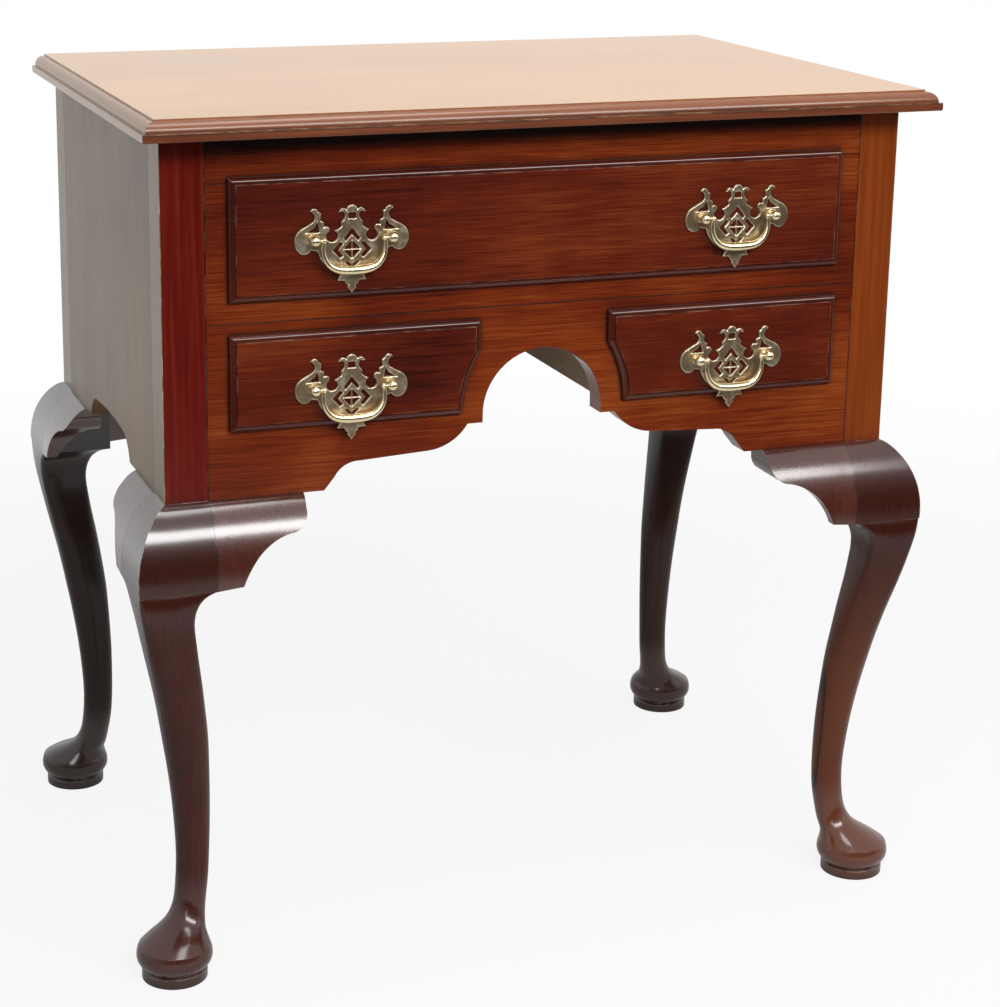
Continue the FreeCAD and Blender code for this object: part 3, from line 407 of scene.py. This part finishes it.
def wood(name, along, tones, coat=0.85, index=1.22, coat_index=1.3, coat_roughness=0.09, roughness=0.3,
         bare_and_highlight=(0.42, 0.24, 0.17), wear_and_highlight=0.7, joints=(), contrast=1.0, shade=None, amber=(1.0, 1.0, 1.0),
         corner_shade=0.0, polished=None, lay=None):
    """One finish. along is the grain's axis and tones are the deep, middle and pale colour of the wood.
    shade may change the colour, lay the grain's direction and polished the shine from place to place.
    Shade is painted into corners where asked, and rubbed arrises pale to a colour that is partly wear
    and partly painted highlight."""
    material = bpy.data.materials.new(name)
    graph = Graph(material)
    here = graph.place()
    if lay:
        here = lay(graph, here)
    seed = graph.add("ShaderNodeObjectInfo", output="Random") * SEED_SPREAD
    pale_share, streak, fibre, pore = figure(graph, here, along, seed, contrast)
    colour = graph.ramp(pale_share, (0.12, 0.5, 0.9), tones)
    colour = graph.blend(pore * 0.5, colour, tones[0])
    if shade:
        colour = shade(graph, here, colour)
    rounded, edge = rounded_arris(graph, ARRIS_RADIUS)
    # The arrises pale toward the bare colour, partly as wear and partly as painted highlight.
    rubbed_and_highlight = edge * graph.noise(here, 70.0, 4.0).step(0.40, 0.66) * wear_and_highlight
    colour = graph.blend(rubbed_and_highlight, colour, bare_and_highlight)
    if joints:
        colour = graph.blend(joint_line(graph, here, joints) * 0.85, colour, JOINT_DIRT)
    # Painted shade: the colour darkens where other surfaces close in, in corners and crevices.
    if corner_shade:
        corner = graph.add("ShaderNodeAmbientOcclusion", {"samples": 8}, {"Distance": CORNER_SHADE_REACH}, "AO")
        colour = graph.blend(corner.step(0.95, 0.45) * corner_shade, colour, CORNER_SHADE_COLOUR)
    smears = graph.noise(here, 9.0, 5.0)
    rough = smears * 0.16 + streak * 0.10 + rubbed_and_highlight * 0.2 + (roughness - (0.16 + 0.10) / 2)
    shine = smears * 0.3 + (coat - 0.3 / 2) - rubbed_and_highlight * 0.5
    if polished:
        shine = shine * polished(graph, here)
    height = fibre * 0.5 + pore * -0.8 + smears * 0.3
    bump = graph.add("ShaderNodeBump", sockets={
        "Height": height, "Strength": 0.15, "Distance": 0.35 * MM, "Normal": rounded})
    surface(graph, {
        "Base Color": colour, "Roughness": rough, "IOR": index, "Normal": bump, "Coat Weight": shine,
        "Coat Roughness": coat_roughness, "Coat IOR": coat_index, "Coat Tint": (*amber, 1.0)})
    return material


def surface(graph, sockets):
    shader = graph.add("ShaderNodeBsdfPrincipled", sockets=sockets)
    graph.add("ShaderNodeOutputMaterial", sockets={"Surface": shader})


finishes = {}
print("wood recipe ready")

# %% [markdown]
# ## The top
# The flat of the top has faded most, to orange tan under a yellowed wax. Its moulded edge kept the old dark
# red, with a painted highlight on the upper half of the roll and painted shade in the quirk below it. The
# edge could be a second finish, but top and moulding are one board, so one finish changes colour where the
# moulding starts.

# %% Top
top_low, top_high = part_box("top")
MOULDING_WIDTH = 11.5 * MM
ROLL_LOW, ROLL_HIGH = 8.0 * MM, 2.5 * MM
QUIRK_DOWN = 10.4 * MM
DARK_EDGE_TONES = ((0.08, 0.023, 0.014), (0.11, 0.034, 0.021), (0.15, 0.052, 0.033))
# Painted highlight on the roll and painted shade in the quirk.
ROLL_HIGHLIGHT = (0.26, 0.12, 0.10)
QUIRK_SHADE = (0.02, 0.008, 0.006)


def dark_moulding(graph, place, colour):
    """The moulded edge kept its dark red; only the flat of the top has faded. The roll takes a painted
    highlight and the quirk painted shade.
    """
    x, y, z = graph.axes(place)
    end_flat = top_high[0] - MOULDING_WIDTH
    front_flat = top_low[1] + MOULDING_WIDTH
    ends = abs(x).step(end_flat, end_flat + 0.5 * MM)
    front = y.step(front_flat, front_flat - 0.5 * MM)
    back = y.step(top_high[1] - 0.4 * MM, top_high[1] - 0.1 * MM)
    underside = z.step(top_low[2] + 0.6 * MM, top_low[2] + 0.2 * MM)
    rim = ends.largest(front).largest(back).largest(underside)
    streak = marks(graph, place, "x", length=0.12, width=4 * MM, seed=7.0, detail=3.0)
    edge = graph.ramp(streak, (0.3, 0.5, 0.7), DARK_EDGE_TONES)
    # Painted highlight on the upper half of the roll.
    roll = z.step(top_high[2] - ROLL_LOW, top_high[2] - ROLL_HIGH)
    edge = graph.blend(roll * 0.45, edge, ROLL_HIGHLIGHT)
    # Painted shade in the quirk below the roll.
    quirk = abs(z - (top_high[2] - QUIRK_DOWN)).step(1.0 * MM, 0.4 * MM)
    edge = graph.blend(quirk * 0.8, edge, QUIRK_SHADE)
    return graph.blend(rim, colour, edge)


finishes["wood_top"] = wood(
    "faded_mahogany_top", "x", ((0.34, 0.165, 0.045), (0.46, 0.245, 0.072), (0.55, 0.31, 0.105)), coat=1.0,
    index=1.36, coat_index=1.32, coat_roughness=0.16, roughness=0.36, contrast=0.9, shade=dark_moulding,
    amber=(1.0, 0.84, 0.60))
print("top faded, with its moulding dark")

# %% [markdown]
# ## The case
# The maker chose quiet, straight boards. The rails and apron are orange brown, and the shadow that the top
# casts on them is painted in as a dark band just under it, with painted shade in the corners as well. The
# ends stand with their grain upright, in an olive brown with little shine.

# %% Ends and rails
# Painted shadow under the top: its colour, and where it starts and where it is full.
UNDER_TOP_SHADOW = (0.007, 0.004, 0.004)
SHADOW_STARTS, SHADOW_FULL = 19 * MM, 9 * MM


def shadow_under_top(graph, place, colour):
    """Painted shadow of the top's overhang: the colour darkens to near black just under the top."""
    z = graph.axes(place)[2]
    near = z.step(top_low[2] - SHADOW_STARTS, top_low[2] - SHADOW_FULL)
    # Painted shadow: the colour darkens to near black just under the top.
    return graph.blend(near * 0.95, colour, UNDER_TOP_SHADOW)


finishes["wood_side"] = wood(
    "upright_mahogany_end", "z", ((0.07, 0.037, 0.014), (0.165, 0.095, 0.032), (0.26, 0.16, 0.07)), coat=0.45,
    index=1.17, coat_index=1.22, coat_roughness=0.25, roughness=0.42, contrast=1.3, joints=post_joints[2:],
    corner_shade=0.5)
finishes["wood_rail"] = wood(
    "orange_brown_mahogany", "x", ((0.036, 0.004, 0.002), (0.120, 0.0165, 0.0035), (0.23, 0.052, 0.009)),
    index=1.15, coat_index=1.27, contrast=1.4, wear_and_highlight=0.5, shade=shadow_under_top, joints=rail_joints, corner_shade=0.85)
print("ends and rails finished")

# %% [markdown]
# The drawer fronts are darker and redder than the rails. Each is one board whose rounded lip frames a
# slightly raised field. The lip is darker still, as painted shade: the finish darkens what lies behind the
# field's face.

# %% Drawer fronts
field_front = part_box("long_drawer_front")[0][1]
LIP_START, LIP_FULL = 0.4 * MM, 1.1 * MM
# Painted shade on the drawer lips.
LIP_SHADE_COLOUR = (0.030, 0.004, 0.002)


def lip_shade(graph, place, colour):
    """Painted shade: the rounded lip is darkened against the field it frames."""
    y = graph.axes(place)[1]
    behind_field = y.step(field_front + LIP_START, field_front + LIP_FULL)
    return graph.blend(behind_field * 0.6, colour, LIP_SHADE_COLOUR)


finishes["wood_drawer_front"] = wood(
    "red_brown_mahogany", "x", ((0.026, 0.003, 0.0018), (0.082, 0.010, 0.0032), (0.16, 0.034, 0.007)),
    index=1.15, coat_index=1.42, contrast=1.4, coat_roughness=0.08, shade=lip_shade, corner_shade=0.7)
print(len(finishes), "finishes so far")

# %% [markdown]
# ## Legs and ears
# Each leg is one length of wood, from the square post at the case's corner down to the pad foot, and its
# parts have aged apart. The post has the red of the case, paler and more orange on the right, and its end
# face matches the side panel. Below the case the leg was stained nearly black, a little redder at the foot
# and on the right shank; the rear legs are the darkest. Each part could be its own material, but the leg is
# one solid, so its finish changes with the place. Dusting has kept a full polish on the knees and part of it
# on the feet.

# %% Legs
# Places on the legs, in metres: each pair says where a change starts and where it is full.
KNEE_POLISHED, FOOT_POLISHED = (0.29, 0.388), (0.09, 0.06)
FOOT_STAINED, SHANK_STAINED = (0.10, 0.02), (0.32, 0.16)
RIGHT_LEGS, RIGHT_POSTS, REAR_LEGS = (0.1, 0.25), (-0.1, 0.1), (0.0, 0.1)
LEAST_POLISH = 0.24
FOOT_STAIN = (0.06, 0.013, 0.007)
SHANK_STAIN = (0.14, 0.036, 0.010)
# The rear legs are darkened to nearly black.
REAR_LEG_DARK = (0.006, 0.005, 0.004)
LEFT_POST_TONES = ((0.04, 0.002, 0.0012), (0.088, 0.005, 0.0025), (0.15, 0.018, 0.007))
RIGHT_POST_TONES = ((0.12, 0.022, 0.004), (0.172, 0.035, 0.005), (0.24, 0.058, 0.010))
POST_END = (0.155, 0.09, 0.031)


def leg_below_case(graph, x, y, z, colour):
    """The dark stain, redder low on the foot and on the right shank; the rear legs are darkened to nearly
    black.
    """
    foot = z.step(*FOOT_STAINED)
    colour = graph.blend(foot * 0.25, colour, FOOT_STAIN)
    right_shank = x.step(*RIGHT_LEGS) * z.step(*SHANK_STAINED)
    colour = graph.blend(right_shank * 0.5, colour, SHANK_STAIN)
    return graph.blend(y.step(*REAR_LEGS) * 0.75, colour, REAR_LEG_DARK)


def post_at_corner(graph, place, x):
    """The square post: red on the left, paler on the right, with end faces that match the side panels."""
    streaks = marks(graph, place, "z", length=0.16, width=5 * MM, seed=3.0, detail=5.0, bend=0.4)
    places = (0.15, 0.5, 0.9)
    left_post = graph.ramp(streaks, places, LEFT_POST_TONES)
    right_post = graph.ramp(streaks, places, RIGHT_POST_TONES)
    post = graph.blend(x.step(*RIGHT_POSTS) * 0.85, left_post, right_post)
    end_face = -panel_low[0]
    end = abs(x).step(end_face - 0.8 * MM, end_face - 0.3 * MM)
    return graph.blend(end, post, POST_END)


def post_above_leg(graph, place, colour):
    """One colour below the case and another above, with the change at the case's lower edge."""
    x, y, z = graph.axes(place)
    leg = leg_below_case(graph, x, y, z, colour)
    post = post_at_corner(graph, place, x)
    return graph.blend(z.step(case_low - 2 * MM, case_low + 2 * MM), leg, post)


def handled(graph, place):
    """Knees and feet are rubbed at every dusting, so they keep their polish; shanks and posts keep less."""
    z = graph.axes(place)[2]
    knee = z.step(*KNEE_POLISHED) * z.step(case_low + 1 * MM, case_low)
    foot = z.step(*FOOT_POLISHED) * 0.6
    return knee.largest(foot) * (1.0 - LEAST_POLISH) + LEAST_POLISH


finishes["wood_leg"] = wood(
    "dark_polished_leg", "z", ((0.009, 0.002, 0.001), (0.034, 0.0055, 0.0025), (0.10, 0.021, 0.007)),
    coat=1.0, index=1.15, coat_index=1.68, coat_roughness=0.17, roughness=0.28, bare_and_highlight=(0.70, 0.60, 0.54),
    wear_and_highlight=1.0, joints=post_joints, contrast=0.7, corner_shade=0.7, shade=post_above_leg, polished=handled)
print("legs finished")

# %% [markdown]
# The ears are small blocks, shaped by themselves and glued under the case, where they carry the knee's curve
# on. They took the stain a little redder than the legs and keep the same hard polish all over.

# %% Ears
finishes["wood_ear"] = wood(
    "reddish_polished_ear", "z", ((0.014, 0.003, 0.0015), (0.052, 0.009, 0.004), (0.12, 0.032, 0.014)),
    coat=1.0, index=1.17, coat_index=1.72, coat_roughness=0.19, roughness=0.3, joints=post_joints, corner_shade=0.5)
print("ears finished")

# %% [markdown]
# ## The inside
# Inside, nothing was polished. Drawer sides and bottoms are planed oak, runners and blocks are pine, and both
# have gone grey brown with dust and handling.


# %% Linings and inside work
def across_the_back(graph, place):
    """The inside boards run from front to back, but the back board runs from side to side."""
    x, y, z = graph.axes(place)
    turned = graph.add("ShaderNodeCombineXYZ", sockets={0: y, 1: x, 2: z})
    back = y.step(back_front - 0.3 * MM, back_front - 0.1 * MM)
    return graph.add("ShaderNodeMix", {"data_type": "VECTOR"}, {0: back, 4: place, 5: turned}, 1)


finishes["wood_lining"] = wood(
    "planed_oak", "y", ((0.22, 0.13, 0.065), (0.40, 0.26, 0.14), (0.55, 0.39, 0.23)), coat=0.16, index=1.4,
    coat_index=1.3, coat_roughness=0.4, roughness=0.62, bare_and_highlight=(0.6, 0.45, 0.3), wear_and_highlight=0.3)
finishes["wood_inside"] = wood(
    "dusty_pine", "y", ((0.10, 0.062, 0.035), (0.21, 0.135, 0.078), (0.34, 0.23, 0.14)), coat=0.16, index=1.4,
    coat_index=1.3, coat_roughness=0.5, roughness=0.7, bare_and_highlight=(0.4, 0.28, 0.18), wear_and_highlight=0.3, contrast=1.3,
    lay=across_the_back)
print(len(finishes), "woods")

# %% [markdown]
# ## Brass
# The plates were cast, filed flat and lacquered; the lacquer has darkened on the face and worn off the
# bevels. Posts and bails are rubbed by hands at every pull, so they stay brighter. The same recipe makes
# both: a metal whose colour and roughness follow its wear, with fine scratches in the polish. The pale colour
# on the arrises stands partly for that wear and partly for a painted highlight.

# %% Brass recipe
BRASS_SPOTS = (0.10, 0.065, 0.03)


def brass(name, dull, bright, rub_highlight_radius, rub_highlight_share, roughness):
    material = bpy.data.materials.new(name)
    graph = Graph(material)
    here = graph.place()
    cloud = graph.noise(here, 120.0, 5.0)
    spots = graph.noise(here, 900.0, 3.0)
    rounded, rub_and_highlight = rounded_arris(graph, rub_highlight_radius)
    # The arrises pale toward the bright colour, partly as wear and partly as painted highlight.
    level = (rub_and_highlight * rub_highlight_share).largest(cloud.step(0.48, 0.75) * 0.45)
    colour = graph.blend(level, dull, bright)
    colour = graph.blend(spots.step(0.62, 0.72) * 0.5, colour, BRASS_SPOTS)
    scratches = marks(graph, here, "x", length=20 * MM, width=0.4 * MM, seed=1.0, detail=2.0)
    height = cloud * 0.6 + scratches * 0.4
    bump = graph.add("ShaderNodeBump", sockets={
        "Height": height, "Strength": 0.25, "Distance": 0.2 * MM, "Normal": rounded})
    rough = cloud * 0.18 + spots * 0.08 + (roughness - (0.18 + 0.08) / 2) - level * 0.08
    surface(graph, {"Base Color": colour, "Metallic": 1.0, "Roughness": rough, "Normal": bump})
    return material


finishes["brass_plate"] = brass(
    "antique_brass", dull=(0.36, 0.27, 0.17), bright=(0.98, 0.90, 0.70), rub_highlight_radius=0.9 * MM, rub_highlight_share=1.0,
    roughness=0.36)
finishes["brass_polished"] = brass(
    "handled_brass", dull=(0.76, 0.64, 0.40), bright=(0.97, 0.87, 0.62), rub_highlight_radius=0.4 * MM, rub_highlight_share=0.6,
    roughness=0.22)
print("brasses finished")

# %% [markdown]
# ## Dressing the pieces
# The frame's record names the finish that each piece takes. Going through that list, rather than through the
# objects by hand, leaves no piece bare and puts the same wood on every board of a kind.

# %% Give every node its finish
slot_of = {part["node"]: part["material_slot"] for part in frame["record"]["subparts"]}
for name, slot in slot_of.items():
    mesh = nodes[name].data
    mesh.materials.clear()
    mesh.materials.append(finishes[slot])
print(len(slot_of), "pieces finished")

# %% [markdown]
# ## Bevelled plates
# A pierced plate is filed all round its front edge, inside each piercing as well, and that narrow bevel is
# what catches the light. It could be faked in the material, but a real facet shines and turns as the viewer
# moves. So each plate is copied, its front faces are inset by the width of the bevel, and the old rim is
# pushed back.

# %% Cut the bevels
BEVEL_WIDTH = 0.65 * MM
BEVEL_DEPTH = 0.6 * MM
SAME_POINT = 0.002 * MM
SAME_PLANE = 0.01 * MM


def bevelled(node, body):
    mesh = nodes[node].data.copy()
    shape = bmesh.new()
    shape.from_mesh(mesh)
    bmesh.ops.remove_doubles(shape, verts=shape.verts, dist=SAME_POINT)
    front = min(vert.co.y for vert in shape.verts)
    faces = [face for face in shape.faces if all(abs(vert.co.y - front) < SAME_PLANE for vert in face.verts)]
    bmesh.ops.inset_region(shape, faces=faces, use_boundary=True, use_even_offset=True, thickness=BEVEL_WIDTH)
    flat = {vert for face in faces for vert in face.verts}
    for vert in shape.verts:
        if vert not in flat and abs(vert.co.y - front) < SAME_PLANE:
            vert.co.y += BEVEL_DEPTH
    shape.normal_update()
    for face in shape.faces:
        face.smooth = False
    shape.to_mesh(mesh)
    shape.free()
    piece = bpy.data.objects.new("bevelled_" + node, mesh)
    bpy.context.scene.collection.objects.link(piece)
    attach(piece, body)
    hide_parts(node)
    return piece


for place, body in (("long_left", "long_drawer"), ("long_right", "long_drawer"),
                    ("lower_left", "left_drawer"), ("lower_right", "right_drawer")):
    piece = bevelled("plate_" + place, body)
    print(piece.name, len(piece.data.polygons), "faces")
